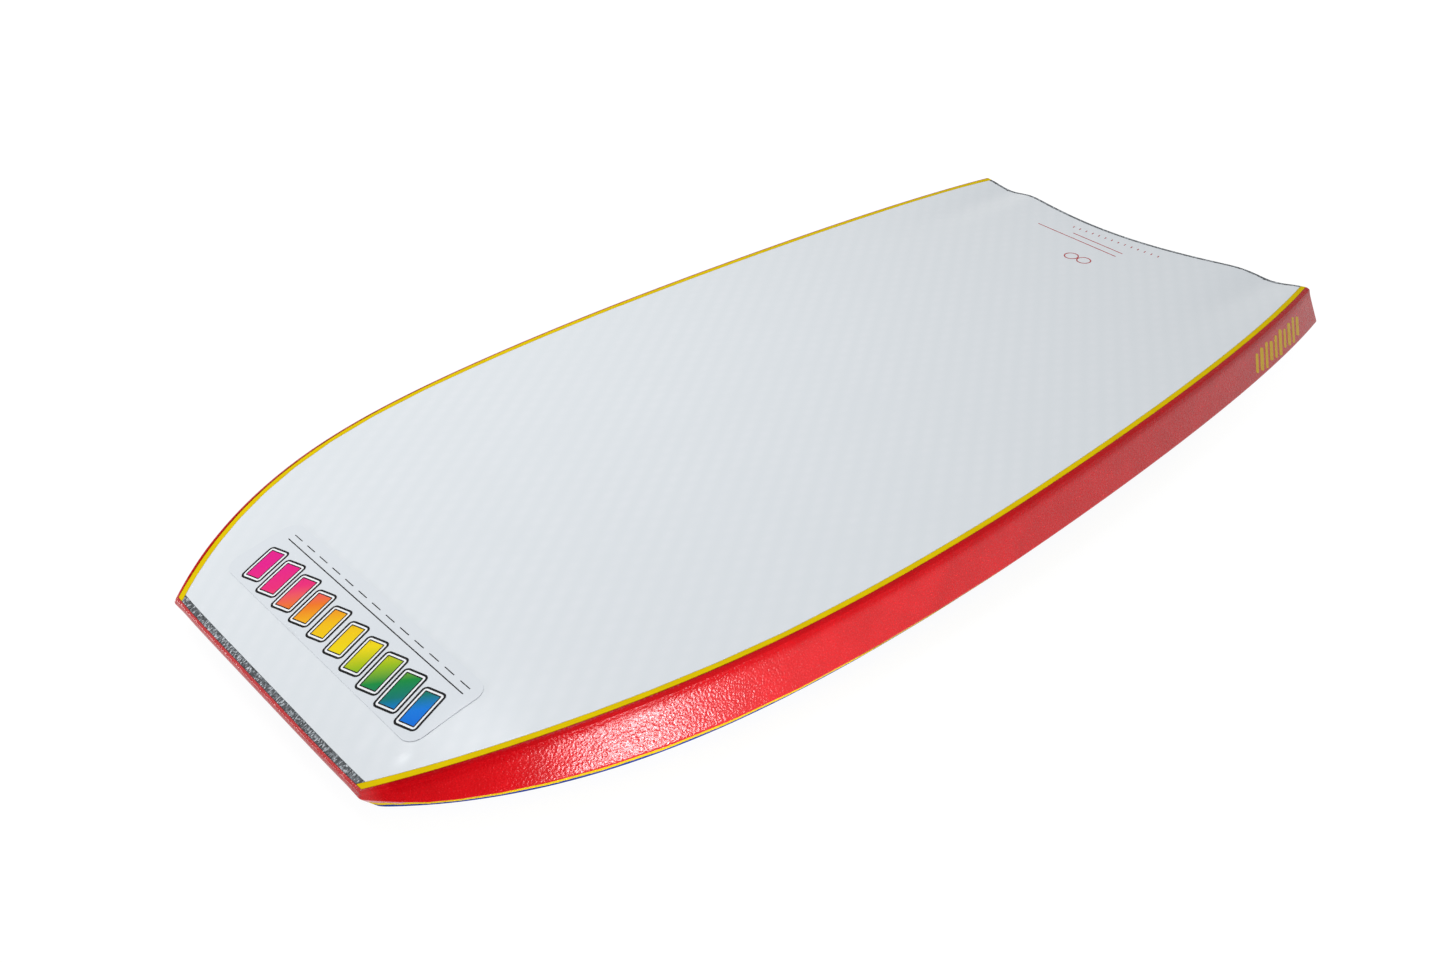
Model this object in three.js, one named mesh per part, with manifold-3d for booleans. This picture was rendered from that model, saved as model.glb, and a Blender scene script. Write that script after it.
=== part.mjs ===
// Laminated bodyboard lying on its deck with the slick face up.
// Millimetres, +Z up, +X across the board, +Y from nose to tail.
// The origin is the middle of the floor area that the board covers.

import * as THREE from 'three';
import { mergeVertices } from 'three/addons/utils/BufferGeometryUtils.js';
import Module from 'manifold-3d';

const wasm = await Module();
wasm.setup();

// Outline of the slick face, pinline included
const boardLength = 1057.8;
const noseWidth = 277.5;
const wideWidth = 504.5;
const widePoint = 499;
const tailWidth = 412.2;
const noseFlareAngle = 37.8;
const tailTaperAngle = 12.1;
const noseHandleShare = 0.31;
const widePointNoseHandleShare = 0.43;
const widePointTailHandleShare = 0.11;
const tailHandleShare = 0.335;
const noseBow = 1;
const noseBowPowerShare = 6;
const crescentDepth = 28;
const crescentWidth = 310;

// Side view: flat deck, slick face that bends down to a thin nose
const boardThickness = 59.2;
const noseDrop = 29;
const noseBendLength = 285;
const noseBendPowerShare = 3;

// Two channels that run out of the tail
const channelSpacing = 338;
const channelWidth = 80;
const channelDepth = 6;
const channelLength = 230;

// Laminated layers
const glueLine = 0.3;
const slickSkinThickness = 1.2;
const slickBackingThickness = 3.4;
const meshThickness = 0.8;
const deckThickness = 5;
const innerRailThickness = 4.7;
const innerRailApexThickness = 8.2;
const noseStripThickness = 4.5;
const tailStripThickness = 3.3;

// Rail section: lip, upright band beside the slick layers, sloping face, apex, straight chine
const lipReach = 5;
const lipDepth = 3.4;
const bandReach = 5.4;
const railReach = 18.3;
const apexHeight = 24.9;
const apexRadius = 2.2;
const chineInset = 19.1;
const chineMiddleShare = 0.4;
const deckEdgeRadius = 4;

// The outer rail ends just under the apex, and the inner rail lies below it from there to the tail
const apexLap = 1.3;
const apexLapStart = 18;

// Nose section: a steeper chine under a low upright edge
const noseLipReach = 2.7;
const noseLipDepth = 2.2;
const noseReach = 2.9;
const noseBandDepth = 3.4;
const noseChineInset = 15.5;
const noseFootInset = 8;

// How the rail section turns into the nose section at the front corners
const sideBlendShare = 0.52;
const sideBlendPowerShare = 1.15;
const cornerBlendShare = 0.88;
const noseCornerBlendShare = 0.95;
const cornerLength = 45;
const cornerRunOut = 14;

// Carbon stringers with end plugs
const stringerDiameter = 11;
const stringerWall = 1.2;
const stringerSpacing = 150;
const stringerStart = 232;
const plugHeadLength = 4;
const plugSpigotLength = 14;

// Clear label film on the nose
const labelWidth = 275;
const labelLength = 66;
const labelFromNose = 39;
const labelCornerRadius = 12;
const labelCornerSteps = 5;
const labelThickness = 0.2;

// Room that a cutter runs past what it cuts
const cutOverrun = 3;
const wideOverrun = 40;

// Stations and columns that the curved surfaces are drawn through
const noseStationShares = [0, 0.02, 0.05, 0.09, 0.13, 0.19, 0.26, 0.34, 0.43, 0.53, 0.64, 0.76, 0.88];
const tailStationShares = [0, 0.15, 0.3, 0.42, 0.53, 0.63, 0.72, 0.8, 0.87, 0.93, 0.97, 1];
const columnShares = [0, 0.22, 0.42, 0.54, 0.62, 0.68, 0.74, 0.79, 0.84, 0.9, 0.95, 1];
const cornerSteps = 4;
const lipSteps = 3;
const roundSteps = 3;
const tubeSides = 20;

const degree = Math.PI / 180;
const mix = THREE.MathUtils.lerp;
const clamp = THREE.MathUtils.clamp;

// Right half of the outline, from the nose corner to the tail corner
const noseCorner = new THREE.Vector2(noseWidth / 2, 0);
const wideCorner = new THREE.Vector2(wideWidth / 2, widePoint);
const tailCorner = new THREE.Vector2(tailWidth / 2, boardLength);
const rearLength = boardLength - widePoint;

function handle(from, angle, length) {
  return new THREE.Vector2(Math.sin(angle), Math.cos(angle)).multiplyScalar(length).add(from);
}

const noseCurve = new THREE.CubicBezierCurve(
  noseCorner,
  handle(noseCorner, noseFlareAngle * degree, noseHandleShare * widePoint),
  handle(wideCorner, Math.PI, widePointNoseHandleShare * widePoint),
  wideCorner,
);
const tailCurve = new THREE.CubicBezierCurve(
  wideCorner,
  handle(wideCorner, 0, widePointTailHandleShare * rearLength),
  handle(tailCorner, Math.PI - tailTaperAngle * degree, tailHandleShare * rearLength),
  tailCorner,
);

function sideStation(curve, share) {
  const tangent = curve.getTangent(share);
  return { at: curve.getPoint(share), normal: new THREE.Vector2(tangent.y, -tangent.x) };
}

const sideStations = [
  ...noseStationShares.map((share) => sideStation(noseCurve, share)),
  ...tailStationShares.map((share) => sideStation(tailCurve, share)),
];

// Slight bow of the nose edge, level at the corners
function noseEdge(x) {
  const reach = clamp(Math.abs(x) / noseCorner.x, 0, 1);
  return -noseBow * (1 - reach ** noseBowPowerShare);
}

// Crescent cut into the tail, level outside its width
function tailEdge(x) {
  const reach = clamp((2 * Math.abs(x)) / crescentWidth, 0, 1);
  return -crescentDepth * (1 - reach * reach) * (1 - reach * reach / 4);
}

// How far the slick face has dropped towards the nose, 1 at the nose corners
function noseShare(y) {
  return Math.max((noseBendLength - y) / noseBendLength, 0) ** noseBendPowerShare;
}

// Depth of the tail channels below the slick face
function channelDrop(x, y) {
  const across = clamp((2 * (Math.abs(x) - channelSpacing / 2)) / channelWidth, -1, 1);
  const along = clamp((y - boardLength + channelLength) / channelLength, 0, 1);
  const bowl = (1 + Math.cos(Math.PI * across)) / 2;
  return channelDepth * bowl * along * along * (3 - 2 * along);
}

function localThickness(y) {
  return boardThickness - noseDrop * noseShare(y);
}

function slickHeight(x, y) {
  return localThickness(y) - channelDrop(x, y);
}

// Meeting point of two walls that are offset from a corner along their own normals
function meet(corner, normalA, offsetA, normalB, offsetB) {
  const det = normalA.x * normalB.y - normalA.y * normalB.x;
  return new THREE.Vector2(
    corner.x + (offsetA * normalB.y - offsetB * normalA.y) / det,
    corner.y + (offsetB * normalA.x - offsetA * normalB.x) / det,
  );
}

const noseNormal = new THREE.Vector2(0, -1);
const tailNormal = new THREE.Vector2(0, 1);

// A ring is one line of the section carried round the board.
// It holds an offset outwards and a depth below the slick face, for the rails and for the nose.
// A mitred ring keeps a sharp front corner, also outside the slick face.
// chine says how far down the chine a ring lies, from 0 at the apex to 1 at the deck edge.
// The deck edge turns into its nose section at the same pace as the slick face drops.
// railWall and noseWall replace the offset along one edge of a cutter, tail adds one there.
function ring(rail, nose, settings = {}) {
  return { rail, nose, tail: 0, chine: 0, ...settings };
}

function blended(line, outShare, downShare) {
  return {
    out: mix(line.rail[0], line.nose[0], outShare),
    down: mix(line.rail[1], line.nose[1], downShare),
  };
}

function sidePlace(line, index) {
  const station = sideStations[index];
  const drop = noseShare(station.at.y);
  const nearCorner = clamp(1 - station.at.y / cornerLength, 0, 1) ** 2;
  const sideShare = sideBlendShare * drop ** sideBlendPowerShare;
  const faceShare = mix(sideShare, cornerBlendShare, nearCorner);
  const { out, down } = blended(line, mix(faceShare, drop, line.chine), drop);
  const offset = line.railWall ?? out;
  return { station, offset, down };
}

function spot(point, base, down, raise) {
  const thickness = localThickness(Math.max(base.y, 0));
  const top = slickHeight(base.x, base.y);
  return new THREE.Vector3(point.x, point.y, top * (1 - down / thickness) + raise);
}

// The right half of one ring, from the middle of the nose to the middle of the tail
function halfRing(line, raise, sharp) {
  const points = [];
  const last = sideStations.length - 1;
  const corner = sidePlace(line, 0);
  const plain = blended(line, 1, 1);
  const noseStart = line.noseWall ?? plain.out;
  const fanned = !sharp && !line.mitred && corner.offset > 0 && noseStart > 0;
  const mitre = meet(noseCorner, noseNormal, noseStart, corner.station.normal, corner.offset);

  // Nose edge, from its middle outwards, reaching further out where the rail begins
  columnShares.slice(0, -1).forEach((share) => {
    const baseX = share * noseCorner.x;
    const base = new THREE.Vector2(baseX, noseEdge(baseX));
    const run = clamp((noseCorner.x - baseX) / cornerRunOut, 0, 1);
    const grown = blended(line, mix(noseCornerBlendShare, 1, run), 1);
    const x = fanned ? baseX : share * mitre.x;
    const y = base.y - (fanned ? grown.out : noseStart);
    points.push(spot(new THREE.Vector2(x, y), base, plain.down, raise));
  });

  // Front corner, rounded where the ring stands outside the slick face
  for (let step = cornerSteps; step >= 0; step -= 1) {
    const part = step / cornerSteps;
    if (fanned) {
      const share = mix(cornerBlendShare, noseCornerBlendShare, Math.sqrt(part));
      const { out } = blended(line, share, 1);
      const from = Math.atan2(corner.station.normal.y, corner.station.normal.x);
      const angle = mix(from, Math.atan2(noseNormal.y, noseNormal.x), part);
      const reach = new THREE.Vector2(Math.cos(angle), Math.sin(angle)).multiplyScalar(out);
      points.push(spot(reach.add(noseCorner), noseCorner, plain.down, raise));
    } else {
      points.push(spot(mitre, noseCorner, plain.down, raise));
    }
  }

  // Side
  for (let index = 1; index < last; index += 1) {
    const { station, offset, down } = sidePlace(line, index);
    const point = station.normal.clone().multiplyScalar(offset).add(station.at);
    points.push(spot(point, station.at, down, raise));
  }

  // Tail corner: the rail stops square unless a cutter runs past it
  const end = sidePlace(line, last);
  const square = end.station.normal.clone().multiplyScalar(end.offset).add(tailCorner);
  const meeting = meet(tailCorner, end.station.normal, end.offset, tailNormal, line.tail);
  const outer = line.tail === 0 && end.offset > 0 ? square : meeting;
  const inner = line.tail === 0 && end.offset > 0 ? tailCorner : meeting;
  points.push(spot(outer, tailCorner, end.down, raise));
  points.push(spot(inner, tailCorner, end.down, raise));

  // Tail edge, back to its middle
  columnShares.slice(0, -1).reverse().forEach((share) => {
    const x = share * inner.x;
    const baseX = share * tailCorner.x;
    const y = inner.y + tailEdge(baseX);
    const base = new THREE.Vector2(baseX, boardLength);
    points.push(spot(new THREE.Vector2(x, y), base, end.down, raise));
  });
  return points;
}

function mirrored(point) {
  return new THREE.Vector3(-point.x, point.y, point.z);
}

// A whole ring, counter-clockwise seen from above
function wholeRing(line, raise, sharp) {
  const half = halfRing(line, raise, sharp);
  const other = half.slice(1, -1).map(mirrored).reverse();
  return [...half, ...other];
}

// Rows of points over the slick face inside its first ring
function slickRows(half, raise) {
  const columns = columnShares.length - 1;
  const noseEdge = half.slice(0, columns);
  const firstSide = columns + cornerSteps;
  const sides = half.slice(firstSide, firstSide + sideStations.length - 1);
  const tailEnd = half.length - 1 - columns;
  const tailRow = half.slice(tailEnd).reverse();
  const start = sides[0].y;
  const end = tailRow[columns].y;
  const between = sides.slice(1).map((edge) => columnShares.map((share, column) => {
    if (column === columns) return edge;
    const along = (edge.y - start) / (end - start);
    const x = share * edge.x;
    const y = mix(noseEdge[column].y, tailRow[column].y, along);
    const height = localThickness(y) - channelDrop(x, edge.y) + raise;
    return new THREE.Vector3(x, y, height);
  }));
  return [[...noseEdge, sides[0]], ...between, tailRow];
}

// Collects triangles, leaves out those with no area and welds the corners
class Shell {
  constructor() {
    this.positions = [];
  }

  triangle(a, b, c) {
    if (a.equals(b) || b.equals(c) || c.equals(a)) return;
    [a, b, c].forEach((point) => this.positions.push(point.x, point.y, point.z));
  }

  quad(a, b, c, d) {
    this.triangle(a, b, c);
    this.triangle(a, c, d);
  }

  solid() {
    const geometry = new THREE.BufferGeometry();
    geometry.setAttribute('position', new THREE.Float32BufferAttribute(this.positions, 3));
    return toSolid(geometry);
  }
}

function toSolid(geometry) {
  const bare = geometry.clone();
  bare.deleteAttribute('normal');
  bare.deleteAttribute('uv');
  const welded = mergeVertices(bare);
  const vertProperties = new Float32Array(welded.getAttribute('position').array);
  const triVerts = new Uint32Array(welded.getIndex().array);
  return new wasm.Manifold(new wasm.Mesh({ numProp: 3, vertProperties, triVerts }));
}

function toGeometry(solid) {
  const mesh = solid.getMesh();
  const geometry = new THREE.BufferGeometry();
  const positions = new Float32Array(mesh.vertProperties);
  geometry.setAttribute('position', new THREE.BufferAttribute(positions, 3));
  geometry.setIndex(new THREE.BufferAttribute(new Uint32Array(mesh.triVerts), 1));
  const flat = geometry.toNonIndexed();
  flat.computeVertexNormals();
  return flat;
}

// A body bounded by the slick face, lowered or raised, and by rings down to a flat underside
function boardBody(lines, raise = 0) {
  const shell = new Shell();
  const rows = slickRows(halfRing(lines[0], raise, true), raise);
  for (let row = 1; row < rows.length; row += 1) {
    for (let column = 1; column < columnShares.length; column += 1) {
      const a = rows[row - 1][column - 1];
      const b = rows[row - 1][column];
      const c = rows[row][column];
      const d = rows[row][column - 1];
      shell.quad(a, b, c, d);
      shell.quad(mirrored(b), mirrored(a), mirrored(d), mirrored(c));
    }
  }
  const rings = lines.map((line, index) => wholeRing(line, index === 0 ? raise : 0, index === 0));
  for (let level = 1; level < rings.length; level += 1) {
    const upper = rings[level - 1];
    const lower = rings[level];
    upper.forEach((point, index) => {
      const next = (index + 1) % upper.length;
      shell.quad(point, lower[index], lower[next], upper[next]);
    });
  }
  const floor = rings[rings.length - 1];
  const corners = floor.filter((point, index) => !point.equals(floor[(index + 1) % floor.length]));
  const flat = corners.map((point) => new THREE.Vector2(point.x, point.y));
  THREE.ShapeUtils.triangulateShape(flat, []).forEach(([a, b, c]) => {
    shell.triangle(corners[a], corners[c], corners[b]);
  });
  return shell.solid();
}

// Round a corner of the section between two straight lines
function roundCorner(before, corner, after, radius) {
  const toBefore = before.clone().sub(corner).normalize();
  const toAfter = after.clone().sub(corner).normalize();
  const half = toBefore.angleTo(toAfter) / 2;
  const back = radius / Math.tan(half);
  const start = toBefore.clone().multiplyScalar(back).add(corner);
  const end = toAfter.clone().multiplyScalar(back).add(corner);
  const points = [start];
  for (let step = 1; step < roundSteps; step += 1) {
    const part = step / roundSteps;
    const a = start.clone().lerp(corner, part);
    const b = corner.clone().lerp(end, part);
    points.push(a.lerp(b, part));
  }
  return [...points, end];
}

// Points of the outer section as offset and depth, top to bottom
function outerSection({ lip, band, apex, deckEdge }) {
  const points = [];
  for (let step = 0; step <= lipSteps; step += 1) {
    const angle = (step / lipSteps) * (Math.PI / 2);
    points.push(new THREE.Vector2(lip.x * Math.sin(angle), lip.y * (1 - Math.cos(angle))));
  }
  const inward = new THREE.Vector2(deckEdge.x - wideOverrun, deckEdge.y);
  const middle = apex.clone().lerp(deckEdge, chineMiddleShare);
  points.push(band, ...roundCorner(band, apex, deckEdge, apexRadius), middle);
  const upper = points.length;
  points.push(...roundCorner(apex, deckEdge, inward, deckEdgeRadius));
  return points.map((point, index) => {
    const below = index < upper ? 0 : 1;
    return { point, chine: point === middle ? chineMiddleShare : below };
  });
}

const slickLayersDepth = slickSkinThickness + slickBackingThickness + meshThickness + 3 * glueLine;
const noseThickness = boardThickness - noseDrop;
const railApex = new THREE.Vector2(railReach, boardThickness - apexHeight);
const noseApex = new THREE.Vector2(noseReach, noseThickness - apexHeight);

const railSection = outerSection({
  lip: new THREE.Vector2(lipReach, lipDepth),
  band: new THREE.Vector2(bandReach, slickLayersDepth),
  apex: railApex,
  deckEdge: new THREE.Vector2(railReach - chineInset, boardThickness),
});
const noseSection = outerSection({
  lip: new THREE.Vector2(noseLipReach, noseLipDepth),
  band: new THREE.Vector2(noseReach, noseBandDepth),
  apex: noseApex,
  deckEdge: new THREE.Vector2(noseReach - noseChineInset, noseThickness),
});

const outerBody = boardBody(railSection.map(({ point, chine }, index) => {
  const nose = noseSection[index].point;
  return ring([point.x, point.y], [nose.x, nose.y], { chine });
}));

// Everything inside a wall between rail layers, upright beside the slick layers and then sloping.
// Along the nose it slopes inwards, so that the outer rail covers the chine there.
function railCutter(topInset, apexInset, walls = {}) {
  const all = { mitred: true, tail: wideOverrun, ...walls };
  const upright = { ...all, railWall: -topInset };
  const bottom = boardThickness + cutOverrun;
  const reach = railReach - bandReach + topInset - apexInset;
  const foot = (reach * (bottom - slickLayersDepth)) / (railApex.y - slickLayersDepth);
  return boardBody([
    ring([-topInset, 0], [-topInset, 0], upright),
    ring([-topInset, slickLayersDepth], [-topInset, noseBandDepth], upright),
    ring([foot - topInset, bottom], [-topInset - noseFootInset, noseThickness + cutOverrun], all),
  ], cutOverrun);
}

// Everything below the lower edge of the outer rail, raised by a gap, from behind the nose corners
function belowApex(gap) {
  const all = { mitred: true, tail: wideOverrun };
  const inner = { ...all, railWall: -cutOverrun };
  const wide = { ...all, railWall: wideOverrun, noseWall: wideOverrun };
  const rail = railApex.y + apexLap - gap;
  const nose = noseApex.y + apexLap - gap;
  return boardBody([
    ring([0, 0], [0, 0], inner),
    ring([0, rail], [0, nose], inner),
    ring([0, rail], [0, nose], wide),
    ring([0, boardThickness + cutOverrun], [0, noseThickness + cutOverrun], wide),
  ], cutOverrun).trimByPlane([0, 1, 0], apexLapStart - gap);
}

// Everything between the nose edge and the crescent, each moved inwards by an inset
function betweenEnds(noseInset, tailInset) {
  const reach = wideCorner.x + wideOverrun;
  const rear = boardLength - tailInset;
  const shares = [...columnShares.slice(1).reverse().map((share) => -share), ...columnShares];
  const front = shares.map((share) => share * noseCorner.x);
  const back = shares.map((share) => share * tailCorner.x).reverse();
  const shape = new THREE.Shape([
    new THREE.Vector2(-reach, noseInset),
    ...front.map((x) => new THREE.Vector2(x, noseInset + noseEdge(x))),
    new THREE.Vector2(reach, noseInset),
    new THREE.Vector2(reach, rear),
    ...back.map((x) => new THREE.Vector2(x, rear + tailEdge(x))),
    new THREE.Vector2(-reach, rear),
  ]);
  const depth = boardThickness + 2 * cutOverrun;
  const geometry = new THREE.ExtrudeGeometry(shape, { depth, bevelEnabled: false });
  geometry.translate(0, 0, -cutOverrun);
  return toSolid(geometry);
}

// Everything lower than a depth below the slick face
function belowSlick(depth) {
  const walls = { railWall: wideOverrun, noseWall: wideOverrun, tail: wideOverrun, mitred: true };
  return boardBody([
    ring([0, 0], [0, 0], walls),
    ring([0, boardThickness + cutOverrun], [0, noseThickness + cutOverrun], walls),
  ], -depth);
}

// Everything inside the deck sheet, which wraps up over the lower part of the chine
function insideDeck(thickness) {
  const railSlope = chineInset / apexHeight;
  const noseSlope = noseChineInset / apexHeight;
  const at = (start, slope, down) => start - slope * down - thickness * Math.hypot(1, slope);
  const railStart = railReach - chineInset + railSlope * boardThickness;
  const noseStart = noseReach - noseChineInset + noseSlope * noseThickness;
  const depths = [0, boardThickness - thickness];
  const noseDepths = [0, noseThickness - thickness];
  return boardBody(depths.map((down, index) => {
    const noseDown = noseDepths[index];
    const rail = [at(railStart, railSlope, down), down];
    const nose = [at(noseStart, noseSlope, noseDown), noseDown];
    return ring(rail, nose, { tail: wideOverrun, mitred: true, chine: 1 });
  }), cutOverrun);
}

const outerRail = outerBody
  .subtract(railCutter(-glueLine, -glueLine))
  .subtract(belowApex(glueLine));
const insideOuter = outerBody.intersect(railCutter(0, 0).add(belowApex(0)));
const pastNose = { noseWall: wideOverrun };
const innerRails = insideOuter.subtract(
  railCutter(innerRailThickness, innerRailApexThickness, pastNose),
);
const insideRails = insideOuter.intersect(
  railCutter(innerRailThickness + glueLine, innerRailApexThickness + glueLine, pastNose),
);
const noseStrip = insideRails.subtract(betweenEnds(noseStripThickness, -wideOverrun));
const tailStrip = insideRails.subtract(betweenEnds(-wideOverrun, tailStripThickness));
const middle = insideRails.intersect(
  betweenEnds(noseStripThickness + glueLine, tailStripThickness + glueLine),
);

// Slick skin, its foam backing and the mesh, then the core and the deck sheet
const backingTop = slickSkinThickness + glueLine;
const meshTop = backingTop + slickBackingThickness + glueLine;
const slickSkin = middle.subtract(belowSlick(slickSkinThickness));
const slickBacking = middle.intersect(belowSlick(backingTop))
  .subtract(belowSlick(backingTop + slickBackingThickness));
const meshSheet = middle.intersect(belowSlick(meshTop)).subtract(belowSlick(meshTop + meshThickness));
const underMesh = middle.intersect(belowSlick(slickLayersDepth));
const deckSheet = underMesh.subtract(insideDeck(deckThickness));
const plainCore = underMesh.intersect(insideDeck(deckThickness + glueLine));

// Solids of revolution along Y, from a list of radius and place along the axis
function turned(points) {
  const profile = points.map(([radius, along]) => new THREE.Vector2(radius, along));
  return new THREE.LatheGeometry(profile, tubeSides);
}

const stringerRadius = stringerDiameter / 2;
const stringerBore = stringerRadius - stringerWall;
const spigotRadius = stringerBore - glueLine;
const stringerX = stringerSpacing / 2;
const coreTop = boardThickness - slickLayersDepth;
const coreBottom = deckThickness + glueLine;
const stringerHeight = (coreTop + coreBottom) / 2;
const tailAtStringer = boardLength + tailEdge(stringerX - stringerRadius);
const coreEnd = tailAtStringer - tailStripThickness - 2 * glueLine;
const frontPlug = stringerStart;
const tubeStart = frontPlug + plugHeadLength + glueLine;
const tubeEnd = coreEnd - plugHeadLength - glueLine;
const tubeLength = tubeEnd - tubeStart;

const tubeGeometry = turned([
  [stringerBore, 0],
  [stringerRadius, 0],
  [stringerRadius, tubeLength],
  [stringerBore, tubeLength],
  [stringerBore, 0],
]);
const plugGeometry = turned([
  [0, 0],
  [stringerRadius, 0],
  [stringerRadius, plugHeadLength],
  [spigotRadius, plugHeadLength],
  [spigotRadius, plugHeadLength + plugSpigotLength],
  [0, plugHeadLength + plugSpigotLength],
]);
const holeRadius = stringerRadius + glueLine;
const holeStart = frontPlug - glueLine;
const holeLength = boardLength - holeStart + wideOverrun;
const holeGeometry = turned([
  [0, 0],
  [holeRadius, 0],
  [holeRadius, holeLength],
  [0, holeLength],
]);

function hole(x) {
  const geometry = holeGeometry.clone();
  geometry.translate(x, holeStart, stringerHeight);
  return toSolid(geometry);
}

const core = plainCore.subtract(hole(-stringerX)).subtract(hole(stringerX));

// Label film, laid on the bent nose
function roundedLabel() {
  const shape = new THREE.Shape();
  const right = labelWidth / 2 - labelCornerRadius;
  const front = labelFromNose + labelCornerRadius;
  const rear = labelFromNose + labelLength - labelCornerRadius;
  shape.absarc(right, front, labelCornerRadius, -Math.PI / 2, 0);
  shape.absarc(right, rear, labelCornerRadius, 0, Math.PI / 2);
  shape.absarc(-right, rear, labelCornerRadius, Math.PI / 2, Math.PI);
  shape.absarc(-right, front, labelCornerRadius, Math.PI, 1.5 * Math.PI);
  const depth = boardThickness + cutOverrun;
  return toSolid(new THREE.ExtrudeGeometry(shape, { depth, bevelEnabled: false, curveSegments: labelCornerSteps }));
}

const label = roundedLabel()
  .intersect(belowSlick(-glueLine - labelThickness))
  .subtract(belowSlick(-glueLine));

function halfOf(solid, side) {
  return solid.trimByPlane([side, 0, 0], 0);
}

// Finishes
function finish(color, roughness, metalness = 0) {
  return new THREE.MeshStandardMaterial({ color, roughness, metalness });
}

const whiteSlick = finish(0xdde2e6, 0.3);
const greyFoam = finish(0xc9ccd0, 0.8);
const meshPlastic = finish(0xa9b2ba, 0.6);
const coreFoam = finish(0xf2f1ec, 0.9);
const blueFoam = finish(0x1350a6, 0.55);
const yellowFoam = finish(0xe4c505, 0.5);
const redFoam = finish(0xe3262f, 0.5);
const charcoalFoam = finish(0x5b6064, 0.75);
const carbon = finish(0x1d1e20, 0.35);
const blackPlastic = finish(0x26272a, 0.5);
const clearFilm = finish(0xe6ecf0, 0.15);

const board = new THREE.Group();

function addPiece(name, geometry, material) {
  const mesh = new THREE.Mesh(geometry, material);
  mesh.name = name;
  board.add(mesh);
  return mesh;
}

addPiece('core', toGeometry(core), coreFoam);
addPiece('deck_skin', toGeometry(deckSheet), blueFoam);
addPiece('mesh_sheet', toGeometry(meshSheet), meshPlastic);
addPiece('slick_backing', toGeometry(slickBacking), greyFoam);
addPiece('slick_skin', toGeometry(slickSkin), whiteSlick);
addPiece('nose_strip', toGeometry(noseStrip), charcoalFoam);
addPiece('tail_strip', toGeometry(tailStrip), charcoalFoam);
addPiece('outer_rail', toGeometry(outerRail), redFoam);
addPiece('nose_label', toGeometry(label), clearFilm);

[['right', 1], ['left', -1]].forEach(([name, side]) => {
  addPiece(`inner_rail_${name}`, toGeometry(halfOf(innerRails, side)), yellowFoam);

  const tube = addPiece(`stringer_${name}`, tubeGeometry, carbon);
  tube.position.set(side * stringerX, tubeStart, stringerHeight);
  const front = addPiece(`stringer_front_plug_${name}`, plugGeometry, blackPlastic);
  front.position.set(side * stringerX, frontPlug, stringerHeight);
  const rear = addPiece(`stringer_rear_plug_${name}`, plugGeometry, blackPlastic);
  rear.position.set(side * stringerX, coreEnd, stringerHeight);
  rear.rotation.z = Math.PI;
});

// Centre the board over the origin
const box = new THREE.Box3().setFromObject(board);
board.position.set(0, -(box.min.y + box.max.y) / 2, 0);

export default board;
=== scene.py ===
import math

import bpy
from mathutils import Euler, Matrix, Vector


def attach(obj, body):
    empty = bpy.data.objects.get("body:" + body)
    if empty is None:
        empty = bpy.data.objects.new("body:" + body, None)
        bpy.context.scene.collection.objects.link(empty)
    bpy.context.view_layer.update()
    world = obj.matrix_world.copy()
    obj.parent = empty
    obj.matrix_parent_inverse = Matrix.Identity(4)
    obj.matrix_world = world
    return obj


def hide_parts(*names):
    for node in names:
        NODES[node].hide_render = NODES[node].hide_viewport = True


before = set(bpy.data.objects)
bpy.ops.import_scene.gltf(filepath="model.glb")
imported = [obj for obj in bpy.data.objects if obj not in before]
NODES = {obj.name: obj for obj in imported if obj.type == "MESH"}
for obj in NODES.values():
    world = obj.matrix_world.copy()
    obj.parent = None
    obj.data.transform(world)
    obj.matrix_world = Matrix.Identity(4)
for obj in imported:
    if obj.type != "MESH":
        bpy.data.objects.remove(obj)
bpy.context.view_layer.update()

MM = 0.001

# ---------------------------------------------------------------- colours and node trees

# Nearly all values of a noise texture lie in this span
NOISE_SPAN = (0.3, 0.7)
# Sockets of a Mix node that mixes colours
MIX_SHARE, MIX_FIRST, MIX_SECOND, MIX_RESULT = 0, 6, 7, 2


def screen(red, green, blue):
    """Linear colour of a 0 to 255 screen colour."""
    def linear(value):
        value /= 255
        return value / 12.92 if value <= 0.04045 else ((value + 0.055) / 1.055) ** 2.4
    return (linear(red), linear(green), linear(blue), 1)


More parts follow.
